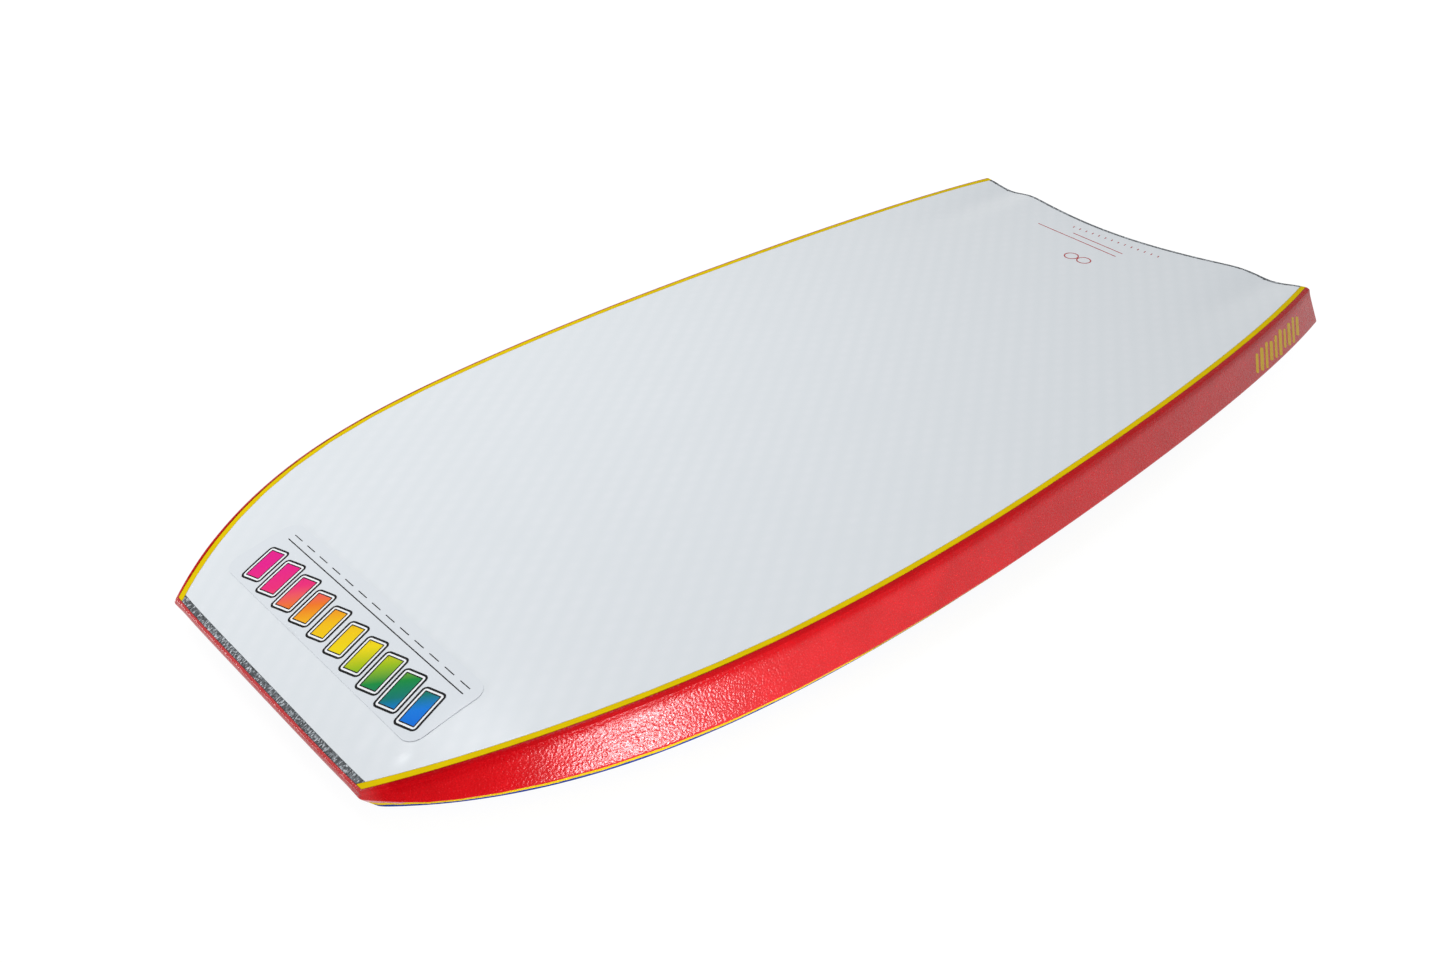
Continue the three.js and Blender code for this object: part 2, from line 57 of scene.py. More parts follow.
class Finish:
    """A material and short calls for building its node tree."""

    def __init__(self, name, colour, roughness, **sockets):
        self.material = bpy.data.materials.new(name)
        self.material.use_nodes = True
        self.tree = self.material.node_tree
        self.tree.nodes.clear()
        self.shader = self.add("ShaderNodeBsdfPrincipled")
        self.shader.inputs["Base Color"].default_value = colour
        self.shader.inputs["Roughness"].default_value = roughness
        for socket, value in sockets.items():
            self.shader.inputs[socket.replace("_", " ")].default_value = value
        self.surface = self.add("ShaderNodeOutputMaterial").inputs["Surface"]
        self.put(self.surface, self.shader.outputs[0])
        self.place = self.add("ShaderNodeTexCoord").outputs["Object"]

    def add(self, kind, inputs=None, **settings):
        node = self.tree.nodes.new(kind)
        for key, value in settings.items():
            setattr(node, key, value)
        for key, value in (inputs or {}).items():
            self.put(node.inputs[key], value)
        return node

    def put(self, socket, value):
        if isinstance(value, bpy.types.NodeSocket):
            self.tree.links.new(value, socket)
        else:
            socket.default_value = value

    def math(self, operation, *values):
        node = self.add("ShaderNodeMath", operation=operation)
        for socket, value in zip(node.inputs, values):
            self.put(socket, value)
        return node.outputs[0]

    def noise(self, size, detail):
        inputs = {"Vector": self.place, "Scale": 1 / size, "Detail": detail}
        return self.add("ShaderNodeTexNoise", inputs).outputs["Fac"]

    def cells(self, size, feature="F1", output="Distance", place=None):
        inputs = {"Vector": self.place if place is None else place, "Scale": 1 / size}
        return self.add("ShaderNodeTexVoronoi", inputs, feature=feature).outputs[output]

    def stretched(self, scale, turn):
        """Object coordinates, turned in the board's plane and scaled."""
        inputs = {"Vector": self.place, "Rotation": (0, 0, turn), "Scale": scale}
        return self.add("ShaderNodeMapping", inputs).outputs[0]

    def axes(self):
        return self.add("ShaderNodeSeparateXYZ", {"Vector": self.place}).outputs

    def ridges(self, pitch, angle):
        """0 to 1 wave whose crests lie across the direction at angle in the board's plane."""
        axes = self.axes()
        across = self.math("MULTIPLY", axes["X"], math.cos(angle) * 2 * math.pi / pitch)
        along = self.math("MULTIPLY", axes["Y"], math.sin(angle) * 2 * math.pi / pitch)
        wave = self.math("SINE", self.math("ADD", across, along))
        return self.math("MULTIPLY_ADD", wave, 0.5, 0.5)

    def ramp(self, value, stops):
        node = self.add("ShaderNodeValToRGB", {"Fac": value})
        marks = node.color_ramp.elements
        while len(marks) < len(stops):
            marks.new(0.5)
        for mark, (place, colour) in zip(marks, stops):
            mark.position = place
            mark.color = colour
        return node.outputs["Color"]

    def grey(self, value, low, high, start=0, end=1):
        """value between start and end, turned into low to high."""
        inputs = {"Value": value, "From Min": start, "From Max": end, "To Min": low, "To Max": high}
        return self.add("ShaderNodeMapRange", inputs).outputs[0]

    def patches(self, size, detail, low=0, high=1):
        """Soft patches of about this size, from low to high."""
        return self.grey(self.noise(size, detail), low, high, *NOISE_SPAN)

    def blend(self, share, first, second):
        inputs = {MIX_SHARE: share, MIX_FIRST: first, MIX_SECOND: second}
        return self.add("ShaderNodeMix", inputs, data_type="RGBA").outputs[MIX_RESULT]

    def colour(self, value):
        self.put(self.shader.inputs["Base Color"], value)

    def roughness(self, value):
        self.put(self.shader.inputs["Roughness"], value)

    def relief(self, *layers):
        """Bump from (height, depth in metres) layers, the coarsest first."""
        normal = None
        for height, depth in layers:
            bump = self.add("ShaderNodeBump", {"Height": height, "Distance": depth})
            if normal is not None:
                self.put(bump.inputs["Normal"], normal)
            normal = bump.outputs["Normal"]
        self.put(self.shader.inputs["Normal"], normal)


# ---------------------------------------------------------------- finishes

SLICK_WHITE = screen(228, 231, 234)
SLICK_SHADE = screen(224, 228, 231)
WEAVE_PITCH = 15.4 * MM
WEAVE_ANGLE = math.radians(36)
NET_PITCH = 4 * MM
TWILL_PITCH = 3 * MM
INK_GLOSS = 0.12
RAINBOW_SLANT = 0.9

# Gloss of the red foam from the nose to the tail: distance in metres from GLOSS_START, and level
GLOSS_START = -0.54
RAIL_GLOSS = ((0.011, 0.5), (0.018, 0.05), (0.09, 0.1), (0.13, 0.4), (0.18, 0.5), (0.27, 0.36),
              (0.44, 0.34), (0.69, 0.4), (0.94, 0.42))

# Attribute of the red foam that is 1 close under the slick's edge, where shade is painted, and how
# much gloss and colour the painted shade takes off there
LIP_SHADE = "lip_shade"
LIP_DULLING = 0.75
LIP_PAINTED_SHADE = 0.2


def slick_finish():
    """Hard white skin: soft gloss, fine orange peel, faint slanting ridges of the mesh below."""
    make = Finish("slick", SLICK_WHITE, 0.24, IOR=1.5)
    strong = make.ridges(WEAVE_PITCH, WEAVE_ANGLE)
    weak = make.ridges(WEAVE_PITCH, -WEAVE_ANGLE)
    broken = make.math("MULTIPLY", strong, make.grey(weak, 0.55, 1))
    faded = make.math("MULTIPLY", broken, make.patches(60 * MM, 2, 0.45, 1))
    swell = make.noise(70 * MM, 1)
    peel = make.noise(2.2 * MM, 2)
    make.colour(make.blend(faded, SLICK_SHADE, SLICK_WHITE))
    make.roughness(make.patches(25 * MM, 3, 0.21, 0.26))
    make.relief((swell, 0.5 * MM), (faded, 0.04 * MM), (peel, 0.012 * MM))
    return make.material


def film_finish():
    """Clear film on the slick: as glossy, a little greyer, with slight waves."""
    make = Finish("label film", screen(221, 225, 229), 0.22, IOR=1.48)
    make.roughness(make.patches(30 * MM, 2, 0.19, 0.24))
    make.relief((make.noise(35 * MM, 1), 0.12 * MM), (make.noise(4 * MM, 2), 0.01 * MM))
    return make.material


def red_foam_finish():
    """Sealed red foam: glossy cells that sparkle, slight mottling, and painted shade under the
    pinline.
    """
    make = Finish("red sealed foam", screen(188, 8, 16), 0.24, IOR=1.5)
    from_nose = make.math("ADD", make.axes()["Y"], -GLOSS_START)
    gloss = make.ramp(from_nose, [(place, (level, level, level, 1)) for place, level in RAIL_GLOSS])
    shade = make.add("ShaderNodeAttribute", attribute_name=LIP_SHADE).outputs["Fac"]
    # Painted shade: less gloss close under the slick's edge
    lit = make.math("MULTIPLY_ADD", shade, -LIP_DULLING, 1)
    make.put(make.shader.inputs["Specular IOR Level"], make.math("MULTIPLY", gloss, lit))
    swell = make.noise(11 * MM, 2)
    lumps = make.cells(1.7 * MM, "SMOOTH_F1")
    pits = make.noise(1.2 * MM, 2)
    tone = make.blend(make.patches(28 * MM, 3), screen(182, 6, 13), screen(195, 10, 19))
    specks = make.grey(pits, 0, 0.4, 0.62, 0.75)
    sealed = make.blend(specks, tone, screen(224, 48, 58))
    # Painted shade: the red darkens towards a deep red close under the slick's edge
    make.colour(make.blend(make.math("MULTIPLY", shade, LIP_PAINTED_SHADE), sealed, screen(120, 2, 8)))
    make.roughness(make.grey(pits, 0.16, 0.32, *NOISE_SPAN))
    make.relief((swell, 0.15 * MM), (lumps, 0.34 * MM), (pits, 0.16 * MM))
    return make.material


def yellow_foam_finish():
    """Cut yellow foam: dull, with fine cells and a slightly uneven face."""
    make = Finish("yellow foam", screen(228, 197, 0), 0.7, IOR=1.48, Specular_IOR_Level=0.04)
    make.colour(make.blend(make.patches(18 * MM, 3), screen(224, 192, 0), screen(232, 202, 0)))
    make.relief((make.cells(1.1 * MM, "SMOOTH_F1"), 0.08 * MM), (make.noise(5 * MM, 2), 0.1 * MM))
    return make.material


def blue_foam_finish():
    """Deck skin: close pebbled grain, darker between the pebbles."""
    make = Finish("blue deck foam", screen(0, 54, 146), 0.7, IOR=1.48, Specular_IOR_Level=0.03)
    pebbles = make.cells(2.1 * MM, "SMOOTH_F1")
    tone = make.blend(make.patches(90 * MM, 4), screen(0, 49, 136), screen(1, 60, 158))
    make.colour(make.blend(make.grey(pebbles, 0, 0.4, 0.35, 0.7), tone, screen(0, 34, 104)))
    make.roughness(make.grey(pebbles, 0.6, 0.8))
    make.relief((pebbles, 0.5 * MM), (make.noise(0.8 * MM, 2), 0.1 * MM))
    return make.material


def charcoal_foam_finish():
    """Cut end of speckled foam: light and dark flecks in slanting rows."""
    make = Finish("charcoal foam", screen(96, 100, 106), 0.55, IOR=1.45)
    slanted = make.stretched((1, 0.4, 1), math.radians(38))
    flecks = make.cells(0.8 * MM, "F1", "Color", slanted)
    fleck = make.add("ShaderNodeSeparateColor", {"Color": flecks}).outputs[0]
    make.colour(make.ramp(fleck, [
        (0, screen(22, 26, 30)), (0.35, screen(56, 60, 65)), (0.7, screen(108, 113, 118)),
        (0.85, screen(166, 171, 176)), (1, screen(206, 210, 214))]))
    make.relief((fleck, 0.25 * MM))
    return make.material


def white_foam_finish(name, colour, size):
    """Closed-cell foam block: fine rounded cells."""
    make = Finish(name, colour, 0.7, IOR=1.45)
    cells = make.cells(size)
    darker = tuple(value * 0.8 for value in colour[:3]) + (1,)
    make.colour(make.blend(make.grey(cells, 0, 1, 0.2, 0.8), colour, darker))
    make.relief((cells, size * 0.3))
    return make.material


def mesh_finish():
    """Plastic net: crossing slanted strands over darker gaps."""
    make = Finish("woven mesh", screen(222, 222, 224), 0.5, IOR=1.48)
    strands = make.math("MAXIMUM", make.ridges(NET_PITCH, WEAVE_ANGLE),
                        make.ridges(NET_PITCH, -WEAVE_ANGLE))
    make.colour(make.ramp(strands, [(0.5, screen(150, 152, 156)), (0.8, screen(226, 226, 228))]))
    make.relief((strands, 0.4 * MM))
    return make.material


def carbon_finish():
    """Carbon tube: twill of grey and black bands under clear resin."""
    make = Finish("carbon tube", screen(28, 29, 32), 0.38, IOR=1.5, Coat_Weight=0.8,
                  Coat_Roughness=0.08)
    twill = make.math("GREATER_THAN", make.ridges(TWILL_PITCH, math.radians(45)),
                      make.ridges(TWILL_PITCH, math.radians(-45)))
    make.colour(make.blend(twill, screen(20, 21, 23), screen(58, 60, 65)))
    make.roughness(make.grey(twill, 0.3, 0.45))
    return make.material


def plug_finish():
    """Moulded plastic: even, nearly black, with a fine grain."""
    make = Finish("plug plastic", screen(26, 27, 29), 0.4, IOR=1.46)
    make.colour(make.blend(make.noise(4 * MM, 3), screen(20, 21, 23), screen(38, 39, 42)))
    make.relief((make.noise(0.7 * MM, 2), 0.04 * MM))
    return make.material


def ink_finish(name, colour, worn):
    """Printed ink: nearly even colour with thin places."""
    make = Finish(name, colour, 0.25, IOR=1.48, Specular_IOR_Level=INK_GLOSS)
    make.colour(make.blend(make.grey(make.noise(3 * MM, 3), 0, 1, 0.55, 0.8), colour, worn))
    make.roughness(make.patches(20 * MM, 2, 0.16, 0.26))
    return make.material


def rainbow_ink_finish(start, end):
    """Ink that runs from pink to blue between two places across the board, a little slanted."""
    make = Finish("rainbow ink", screen(240, 200, 20), 0.22, IOR=1.48, Specular_IOR_Level=INK_GLOSS)
    axes = make.axes()
    slanted = make.math("MULTIPLY_ADD", axes["Y"], -RAINBOW_SLANT, axes["X"])
    make.colour(make.ramp(make.grey(slanted, 0, 1, start, end), [
        (0.00, screen(232, 20, 140)), (0.15, screen(238, 40, 120)), (0.27, screen(243, 120, 30)),
        (0.38, screen(247, 190, 10)), (0.53, screen(244, 218, 8)), (0.64, screen(150, 190, 20)),
        (0.72, screen(10, 140, 60)), (0.80, screen(0, 120, 110)), (0.87, screen(2, 122, 222)),
        (1.00, screen(0, 98, 214))]))
    make.roughness(make.patches(20 * MM, 2, 0.16, 0.26))
    return make.material


# ---------------------------------------------------------------- modelling

# Limits for turning a CAD node's loose triangles into a smooth layer
MERGE_REACH = 0.05 * MM
FLAT_QUAD = math.radians(12)
SQUARE_QUAD = math.radians(60)
SHARP_EDGE = math.radians(24)
SMOOTH_EDGE = math.radians(30)
SMOOTHING_LEVELS = 2

# Share of a crease's reach that is lifted as a whole; the rest follows softly
CREST_SHARE = 0.3
# A face whose normal's Z is over this belongs to the sheet's upper side
UPWARD = 0.5

CORNER_SEGMENTS = 5
RING_SIDES = 36
INK_THICKNESS = 0.05 * MM
INK_LIFT = 0.02 * MM
X, Y, Z = 0, 1, 2


def only(piece):
    """Selects one piece and nothing else, in object mode."""
    if bpy.context.object and bpy.context.object.mode == "EDIT":
        leave_edit()
    bpy.ops.object.select_all(action="DESELECT")
    piece.select_set(True)
    bpy.context.view_layer.objects.active = piece


def edit(piece):
    """Opens a piece in edit mode with all of it selected."""
    only(piece)
    bpy.ops.object.mode_set(mode="EDIT")
    bpy.ops.mesh.select_all(action="SELECT")


def leave_edit():
    bpy.ops.object.mode_set(mode="OBJECT")


def apply_modifier(piece, kind, **settings):
    only(piece)
    modifier = piece.modifiers.new(kind.lower(), kind)
    for key, value in settings.items():
        setattr(modifier, key, value)
    bpy.ops.object.modifier_apply(modifier=modifier.name)


def moved(piece, offset):
    edit(piece)
    bpy.ops.transform.translate(value=offset)
    leave_edit()


def row_of(piece, count, pitch):
    """A piece and copies of it in a row across the board, each with its own mesh."""
    row = [piece]
    for index in range(1, count):
        copy = piece.copy()
        copy.data = piece.data.copy()
        bpy.context.scene.collection.objects.link(copy)
        moved(copy, (index * pitch, 0, 0))
        row.append(copy)
    return row


def dress(piece, slot, *finishes):
    """Gives a piece its finishes, or leaves the inks it has, and ties it to the board."""
    if finishes:
        piece.data.materials.clear()
    for finish in finishes:
        piece.data.materials.append(finish)
    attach(piece, "root")


def shaped_layer(name, node):
    """A layer with smooth faces: a copy of its CAD node, merged into quads, sharp edges creased."""
    piece = bpy.data.objects.new(name, NODES[node].data.copy())
    piece.data.name = name
    bpy.context.scene.collection.objects.link(piece)
    edit(piece)
    bpy.ops.mesh.remove_doubles(threshold=MERGE_REACH)
    bpy.ops.mesh.tris_convert_to_quads(face_threshold=FLAT_QUAD, shape_threshold=SQUARE_QUAD)
    bpy.ops.mesh.select_all(action="DESELECT")
    bpy.ops.mesh.select_mode(type="EDGE")
    bpy.ops.mesh.edges_select_sharp(sharpness=SHARP_EDGE)
    bpy.ops.transform.edge_crease(value=1)
    bpy.ops.mesh.select_mode(type="VERT")
    leave_edit()
    apply_modifier(piece, "SUBSURF", levels=SMOOTHING_LEVELS, render_levels=SMOOTHING_LEVELS)
    only(piece)
    bpy.ops.object.shade_smooth_by_angle(angle=SMOOTH_EDGE)
    return piece


def shade_under_lip(piece, sheet, start, end, nose):
    """Marks where shade is painted on a rail by how close it lies to a sheet: 1 up to start, 0
    beyond end and ahead of nose.
    """
    marks = piece.data.attributes.new(LIP_SHADE, "FLOAT", "POINT")
    for vertex, mark in zip(piece.data.vertices, marks.data):
        place = sheet.closest_point_on_mesh(vertex.co)[1]
        share = (end - (place - vertex.co).length) / (end - start)
        mark.value = max(0, min(1, share)) if vertex.co.y > nose else 0


def near_line(point, start, end):
    """Distance in plan from a point to the line between two places."""
    along = (end - start).normalized()
    reach = max(0, min((end - start).length, (point - start).dot(along)))
    return (point - start - along * reach).length


def wrinkle(piece, start, end, height, reach):
    """A soft ridge or trough pulled out of a sheet's upper face with proportional editing."""
    edit(piece)
    bpy.ops.mesh.select_all(action="DESELECT")
    leave_edit()
    first, last = Vector(start), Vector(end)
    for vertex in piece.data.vertices:
        faces_up = vertex.normal.z > UPWARD
        vertex.select = faces_up and near_line(vertex.co.xy, first, last) < reach * CREST_SHARE
    bpy.ops.object.mode_set(mode="EDIT")
    bpy.ops.transform.translate(value=(0, 0, height), use_proportional_edit=True,
                                proportional_edit_falloff="SMOOTH", proportional_size=reach,
                                use_proportional_connected=True)
    leave_edit()


def bar(name, width, length, corner, rims, slant, place, inks):
    """A flat printed bar with round corners. Each rim steps in to the next of the inks."""
    bpy.ops.object.select_all(action="DESELECT")
    bpy.ops.mesh.primitive_plane_add(size=1, location=(0, 0, 0))
    piece = bpy.context.object
    piece.name = name
    for ink in inks:
        piece.data.materials.append(ink)
    edit(piece)
    bpy.ops.transform.resize(value=(width, length, 1))
    bpy.ops.mesh.bevel(offset=corner, segments=CORNER_SEGMENTS, affect="VERTICES")
    for index, rim in enumerate(rims):
        bpy.ops.mesh.select_all(action="DESELECT")
        bpy.ops.mesh.select_mode(type="FACE")
        leave_edit()
        largest = max(piece.data.polygons, key=lambda face: face.area)
        largest.select = True
        bpy.ops.object.mode_set(mode="EDIT")
        bpy.ops.mesh.inset(thickness=rim, depth=0)
        piece.active_material_index = index + 1
        bpy.ops.object.material_slot_assign()
    bpy.ops.mesh.select_mode(type="VERT")
    bpy.ops.mesh.select_all(action="SELECT")
    bpy.ops.transform.rotate(value=-slant, orient_axis="Z", center_override=(0, 0, 0))
    bpy.ops.transform.translate(value=(place[0], place[1], 0))
    leave_edit()
    return piece


def ring(radius, width, place):
    """A flat printed ring."""
    bpy.ops.object.select_all(action="DESELECT")
    bpy.ops.mesh.primitive_circle_add(vertices=RING_SIDES, radius=radius, fill_type="NGON",
                                      location=(0, 0, 0))
    piece = bpy.context.object
    edit(piece)
    bpy.ops.mesh.inset(thickness=width, depth=0)
    bpy.ops.mesh.delete(type="FACE")
    leave_edit()
    moved(piece, (place[0], place[1], 0))
    return piece


def joined(name, parts):
    bpy.ops.object.select_all(action="DESELECT")
    for part in parts:
        part.select_set(True)
    bpy.context.view_layer.objects.active = parts[0]
    bpy.ops.object.join()
    piece = bpy.context.object
    piece.name = piece.data.name = name
    return piece


def sliced(piece, axis, step):
    """Cuts the faces at even steps so that they can follow a curved surface."""
    places = [corner[axis] for corner in piece.bound_box]
    low, high = min(places), max(places)
    normal = [0, 0, 0]
    normal[axis] = 1
    count = max(1, math.ceil((high - low) / step))
    for index in range(1, count):
        point = [0, 0, 0]
        point[axis] = low + (high - low) * index / count
        edit(piece)
        bpy.ops.mesh.bisect(plane_co=point, plane_no=normal)
        leave_edit()


def laid_on(piece, carrier, axis):
    """Lays flat print down along an axis onto a surface and gives it the thickness of ink."""
    apply_modifier(piece, "SHRINKWRAP", target=carrier, wrap_method="PROJECT", offset=INK_LIFT,
                   use_project_x=axis == X, use_project_z=axis == Z,
                   use_negative_direction=True, use_positive_direction=False)
    apply_modifier(piece, "SOLIDIFY", thickness=INK_THICKNESS, offset=1)


def in_row(index, count, pitch):
    """Place of one of an evenly spaced row, counted from the row's middle."""
    return (index - (count - 1) / 2) * pitch


# ---------------------------------------------------------------- camera, stage and light

CAMERA_PLACE = (0.8021, -0.7917, 0.7120)
CAMERA_TURN = (56.4066, 0.9912, 48.0368)
CAMERA_NEAR, CAMERA_FAR = 0.02, 60
SENSOR_WIDTH = 36
LENS = 35.669

FLOOR_SIZE = 14
FLOOR_LEVEL = -0.2 * MM
FLOOR_GREY = screen(208, 208, 208)
FLOOR_GLOW = 1.07
# Share of the floor's own shading that the camera sees, out to an oval where it has faded
SHADOW_SHARE = 0.12
SHADOW_REACH = (0.45, 0.8)
SHADOW_SHAPE = (0.6, 1.15)

SKY_COLOUR = (0.92, 0.96, 1, 1)
SKY_LEVEL = 0.42
WHITE = (1, 1, 1, 1)

# Name, place, the place it is aimed at, width and height, watts, colour
LAMPS = [
    ("low rail strip", (0.87, -0.435, 0.065), (0.27, -0.42, 0.05), (0.3, 0.13), 5, (1, 0.95, 1)),
    ("low nose wall", (-1, -1.45, 0.07), (-0.12, -0.53, 0.03), (1.2, 0.12), 7, (1, 1, 1)),
    ("side wall", (2.3, 1.6, 0.75), (0.2, 0.3, 0.03), (3, 1.5), 8, (0.94, 0.97, 1)),
    ("high softbox", (-0.45, -0.4, 1.52), (-0.05, -0.15, 0.05), (0.8, 0.8), 14, (1, 1, 1)),
]


def add_camera():
    camera = bpy.data.cameras.new("camera")
    camera.sensor_width = SENSOR_WIDTH
    camera.lens = LENS
    camera.clip_start = CAMERA_NEAR
    camera.clip_end = CAMERA_FAR
    holder = bpy.data.objects.new("camera", camera)
    holder.location = CAMERA_PLACE
    holder.rotation_euler = Euler([math.radians(angle) for angle in CAMERA_TURN], "XYZ")
    bpy.context.scene.collection.objects.link(holder)
    bpy.context.scene.camera = holder


def add_lamp(name, place, target, size, power, colour):
    data = bpy.data.lights.new(name, "AREA")
    data.shape = "RECTANGLE"
    data.size, data.size_y = size
    data.energy = power
    data.color = colour
    lamp = bpy.data.objects.new(name, data)
    lamp.location = place
    aim = Vector(target) - Vector(place)
    lamp.rotation_euler = aim.to_track_quat("-Z", "Y").to_euler()
    lamp.visible_camera = False
    bpy.context.scene.collection.objects.link(lamp)


def add_floor():
    """Pale floor that the camera sees as white, with a part of its own shading for the shadow."""
    bpy.ops.object.select_all(action="DESELECT")
    bpy.ops.mesh.primitive_plane_add(size=FLOOR_SIZE, location=(0, 0, FLOOR_LEVEL))
    floor = bpy.context.object
    floor.name = "floor"
    make = Finish("floor", FLOOR_GREY, 0.9)
    glow = make.add("ShaderNodeEmission", {"Color": WHITE, "Strength": FLOOR_GLOW})
    path = make.add("ShaderNodeLightPath").outputs
    clear = make.math("MAXIMUM", path["Is Glossy Ray"], path["Is Transmission Ray"])
    seen = make.math("MAXIMUM", path["Is Camera Ray"], clear)
    axes = make.axes()
    across = make.math("DIVIDE", axes["X"], SHADOW_SHAPE[0])
    along = make.math("DIVIDE", axes["Y"], SHADOW_SHAPE[1])
    squares = make.math("MULTIPLY_ADD", across, across, make.math("MULTIPLY", along, along))
    away = make.math("SQRT", squares)
    white_share = make.grey(away, 1 - SHADOW_SHARE, 1, *SHADOW_REACH)
    both = make.add("ShaderNodeMixShader", {
        0: make.math("MULTIPLY", seen, white_share), 1: make.shader.outputs[0], 2: glow.outputs[0]})
    make.put(make.surface, both.outputs[0])
    floor.data.materials.append(make.material)


def add_world():
    """Soft light from all round, seen as white by the camera, in gloss and through clear things."""
    world = bpy.data.worlds.new("studio")
    world.use_nodes = True
    bpy.context.scene.world = world
    tree = world.node_tree
    tree.nodes.clear()
    soft = tree.nodes.new("ShaderNodeBackground")
    soft.inputs["Color"].default_value = SKY_COLOUR
    soft.inputs["Strength"].default_value = SKY_LEVEL
    white = tree.nodes.new("ShaderNodeBackground")
    white.inputs["Color"].default_value = WHITE
    path = tree.nodes.new("ShaderNodeLightPath")
    both = tree.nodes.new("ShaderNodeMixShader")
    output = tree.nodes.new("ShaderNodeOutputWorld")
    seen = path.outputs["Is Camera Ray"]
    for kind in ("Is Glossy Ray", "Is Transmission Ray"):
        either = tree.nodes.new("ShaderNodeMath")
        either.operation = "MAXIMUM"
        tree.links.new(seen, either.inputs[0])
        tree.links.new(path.outputs[kind], either.inputs[1])
        seen = either.outputs[0]
    tree.links.new(seen, both.inputs[0])
    tree.links.new(soft.outputs[0], both.inputs[1])
    tree.links.new(white.outputs[0], both.inputs[2])
    tree.links.new(both.outputs[0], output.inputs["Surface"])


add_camera()
add_floor()
add_world()
for lamp in LAMPS:
    add_lamp(*lamp)

# ---------------------------------------------------------------- layers that show

YELLOW = yellow_foam_finish()
CHARCOAL = charcoal_foam_finish()

# Piece, the CAD node it stands for, material slot, finish
LAYERS = [
    ("slick_sheet", "slick_skin", "slick", slick_finish()),
    ("red_rail", "outer_rail", "red_foam", red_foam_finish()),
    ("pinline_rail_right", "inner_rail_right", "yellow_foam", YELLOW),
    ("pinline_rail_left", "inner_rail_left", "yellow_foam", YELLOW),
    ("pebbled_deck", "deck_skin", "deck_foam", blue_foam_finish()),
    ("speckled_nose", "nose_strip", "charcoal_foam", CHARCOAL),
    ("speckled_tail", "tail_strip", "charcoal_foam", CHARCOAL),
    ("clear_film", "nose_label", "label_film", film_finish()),
]
# Distances from the slick between which the painted shade on the red foam fades out, and where the
# nose begins
LIP_SPAN = (10.6 * MM, 13.5 * MM)
NOSE_PLACE = -0.515

shown = {}
for name, node, slot, finish in LAYERS:
    layer = shaped_layer(name, node)
    shown[name] = layer
    dress(layer, slot, finish)
    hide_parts(node)

# Painted shade on the red rail close under the slick's edge, none at the nose
shade_under_lip(shown["red_rail"], shown["slick_sheet"], *LIP_SPAN, NOSE_PLACE)

# Creases in the slick beside the nose corners: start, end, height, reach
WRINKLES = [
    ((0.1, -0.5135), (0.134, -0.4995), 0.6 * MM, 11 * MM),
    ((0.112, -0.5015), (0.142, -0.4885), -0.35 * MM, 10 * MM),
    ((-0.132, -0.507), (-0.112, -0.5), 0.35 * MM, 10 * MM),
]
for start, end, height, reach in WRINKLES:
    wrinkle(shown["slick_sheet"], start, end, height, reach)

# ---------------------------------------------------------------- prints

INK_BLACK = ink_finish("black ink", screen(14, 14, 16), screen(40, 40, 44))
INK_WHITE = ink_finish("white ink", screen(246, 247, 248), screen(232, 234, 236))
INK_RAINBOW = rainbow_ink_finish(0.31, 0.57)
INK_YELLOW = ink_finish("yellow ink", screen(214, 176, 30), screen(206, 120, 50))
INK_RED = ink_finish("red ink", screen(178, 44, 48), screen(205, 140, 142))

# Height over the board from which flat prints are laid down on it
PRINT_HEIGHT = 0.1

# Label: a row of slanted bars, widths and lengths in mm, that swell and shrink along the row
LABEL_MIDDLE = (0.002, -0.4668)
BAR_COUNT = 10
BAR_PITCH = 25 * MM
BAR_SLANT = math.radians(16)
BAR_WIDTH, BAR_WIDTH_SWING = 21.2, 1.2
BAR_LENGTH, BAR_LENGTH_SWING = 36, 2
BAR_SWINGS = 3
BAR_CORNER = 4 * MM
KEYLINE = 1.8 * MM
BORDER = 1.5 * MM
INLINE = 1 * MM
LABEL_STEP_ALONG, LABEL_STEP_ACROSS = 4 * MM, 6 * MM

bars = []
for index in range(BAR_COUNT):
    swing = math.sin(index * math.pi / (BAR_COUNT - 1) * BAR_SWINGS)
    place = (LABEL_MIDDLE[0] + in_row(index, BAR_COUNT, BAR_PITCH), LABEL_MIDDLE[1])
    bars.append(bar("bar", (BAR_WIDTH + BAR_WIDTH_SWING * swing) * MM,
                    (BAR_LENGTH + BAR_LENGTH_SWING * swing) * MM, BAR_CORNER,
                    (KEYLINE, BORDER, INLINE), BAR_SLANT, place,
                    (INK_BLACK, INK_WHITE, INK_BLACK, INK_RAINBOW)))
label_print = joined("label_print", bars)

# A long rule and a row of dashes behind the bars
ACROSS = math.radians(90)
RULE_WIDTH, RULE_LENGTH, RULE_PLACE = 0.9 * MM, 250 * MM, -0.4395
DASH_WIDTH, DASH_LENGTH, DASH_PLACE = 0.8 * MM, 12 * MM, -0.4335
DASH_COUNT = 13
DASH_PITCH = 19.8 * MM
RULE_CORNER = 0.2 * MM

rule = bar("rule", RULE_WIDTH, RULE_LENGTH, RULE_CORNER, (), ACROSS,
           (LABEL_MIDDLE[0], RULE_PLACE), (INK_BLACK,))
dash = bar("dash", DASH_WIDTH, DASH_LENGTH, RULE_CORNER, (), ACROSS,
           (LABEL_MIDDLE[0] + in_row(0, DASH_COUNT, DASH_PITCH), DASH_PLACE), (INK_BLACK,))
label_rules = joined("label_rules", [rule, *row_of(dash, DASH_COUNT, DASH_PITCH)])

for piece in (label_print, label_rules):
    sliced(piece, Y, LABEL_STEP_ALONG)
    sliced(piece, X, LABEL_STEP_ACROSS)
    moved(piece, (0, 0, PRINT_HEIGHT))
    laid_on(piece, shown["clear_film"], Z)
    dress(piece, "label_film")

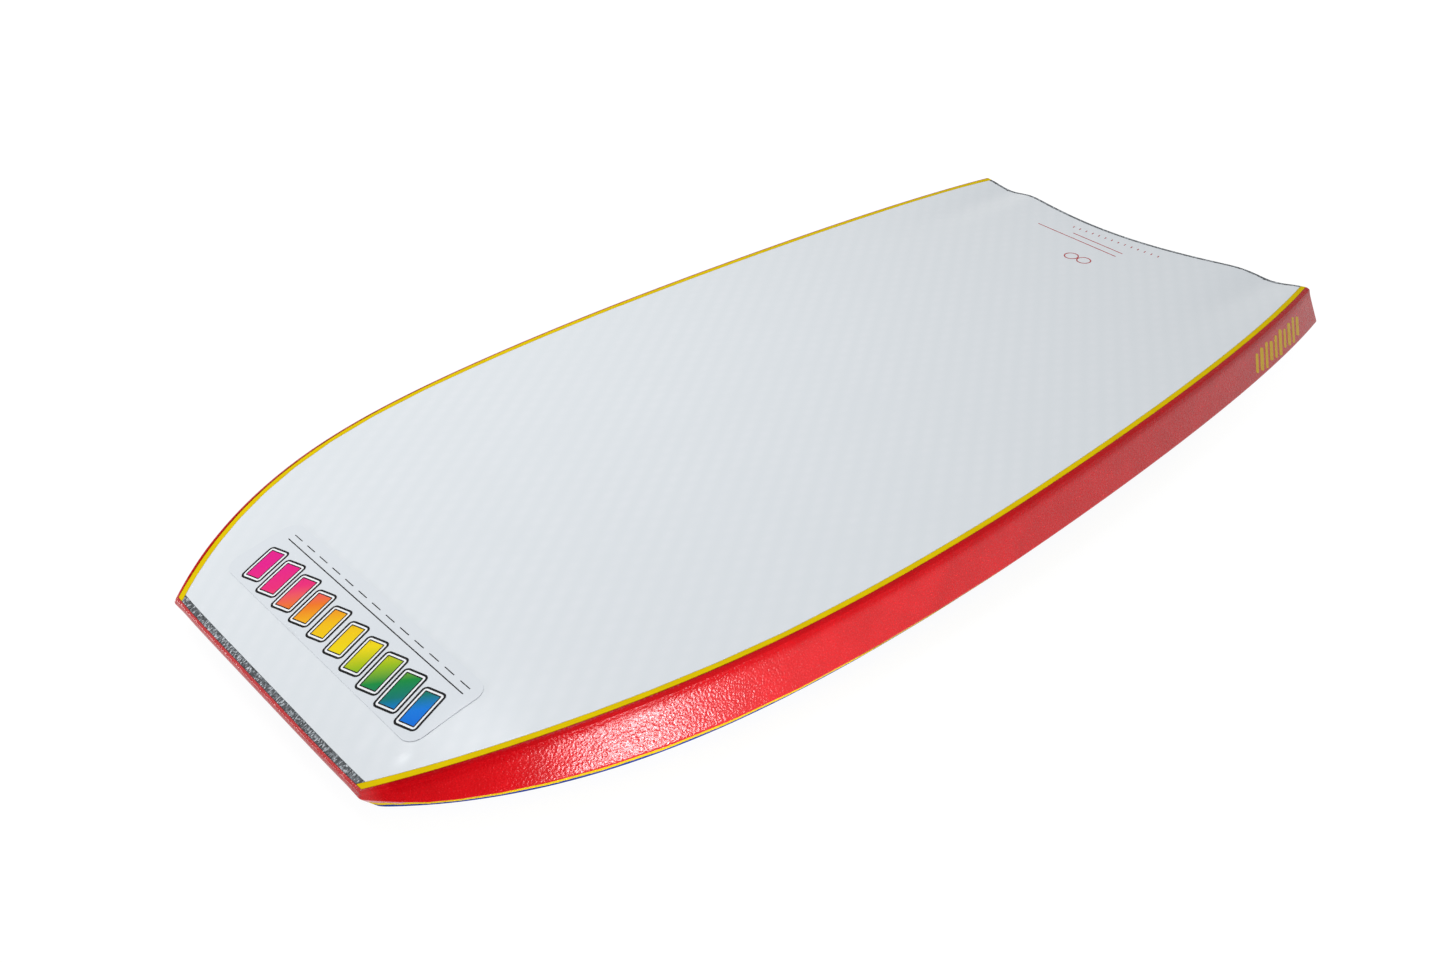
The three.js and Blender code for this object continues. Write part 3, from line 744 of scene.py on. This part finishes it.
# Rail: a short row of yellow strokes near the tail, widths and lengths in mm by turns
STROKE_COUNT = 10
STROKE_PITCH = 10.8 * MM
STROKE_SLANT = math.radians(-22)
STROKE_CORNER = 1.6 * MM
STROKE_WIDTHS = (5.2, 6.8)
STROKE_LENGTHS = (17, 20, 23)
RAIL_PRINT_PLACE = (0.3, 0.436, 0.0382)
RAIL_PRINT_STEP = 5 * MM
QUARTER = math.pi / 2

strokes = []
for index in range(STROKE_COUNT):
    strokes.append(bar("stroke", STROKE_WIDTHS[index % 2] * MM, STROKE_LENGTHS[index % 3] * MM,
                       STROKE_CORNER, (), STROKE_SLANT,
                       (in_row(index, STROKE_COUNT, STROKE_PITCH), 0), (INK_YELLOW,)))
rail_print = joined("rail_print", strokes)
edit(rail_print)
bpy.ops.transform.rotate(value=-QUARTER, orient_axis="X", center_override=(0, 0, 0))
bpy.ops.transform.rotate(value=-QUARTER, orient_axis="Z", center_override=(0, 0, 0))
leave_edit()
moved(rail_print, RAIL_PRINT_PLACE)
sliced(rail_print, Y, RAIL_PRINT_STEP)
sliced(rail_print, Z, RAIL_PRINT_STEP)
laid_on(rail_print, shown["red_rail"], X)
dress(rail_print, "yellow_foam")

# Tail: two lines, a row of ticks and a pair of rings
LINE_WIDTH = 1.3 * MM
LINE_SLANT = math.radians(84)
LINES = [(112 * MM, (-0.026, 0.458)), (70 * MM, (-0.004, 0.4665))]
TICK_COUNT = 14
TICK_PITCH = 8.4 * MM
TICK_SLANT = math.radians(12)
TICK_WIDTH, TICK_LENGTH = 1.2 * MM, 4 * MM
FIRST_TICK = (-0.048, 0.484)
TAIL_CORNER = 0.3 * MM
RING_RADIUS, RING_WIDTH = 8 * MM, 1.4 * MM
RINGS_MIDDLE = (0.004, 0.42)
TAIL_PRINT_STEP = 8 * MM

tail_parts = [bar("line", LINE_WIDTH, length, TAIL_CORNER, (), LINE_SLANT, place, (INK_RED,))
              for length, place in LINES]
tick = bar("tick", TICK_WIDTH, TICK_LENGTH, TAIL_CORNER, (), TICK_SLANT, FIRST_TICK, (INK_RED,))
left_ring = ring(RING_RADIUS, RING_WIDTH, (RINGS_MIDDLE[0] - RING_RADIUS, RINGS_MIDDLE[1]))
tail_parts += row_of(tick, TICK_COUNT, TICK_PITCH) + row_of(left_ring, 2, 2 * RING_RADIUS)
tail_print = joined("tail_print", tail_parts)
moved(tail_print, (0, 0, PRINT_HEIGHT))
sliced(tail_print, X, TAIL_PRINT_STEP)
laid_on(tail_print, shown["slick_sheet"], Z)
dress(tail_print, "red_foam", INK_RED)

# ---------------------------------------------------------------- hidden layers and stiffeners

INSIDE = {
    "core": white_foam_finish("core foam", screen(240, 240, 236), 2.5 * MM),
    "slick_backing": white_foam_finish("backing foam", screen(244, 244, 244), 1.2 * MM),
    "mesh_sheet": mesh_finish(),
}
CARBON = carbon_finish()
PLUG = plug_finish()
REPLACED = [node for _, node, _, _ in LAYERS]
for node, solid in NODES.items():
    if node in REPLACED:
        continue
    solid.data.materials.clear()
    solid.data.materials.append(INSIDE.get(node, PLUG if "plug" in node else CARBON))

bpy.context.scene.view_settings.view_transform = "Standard"
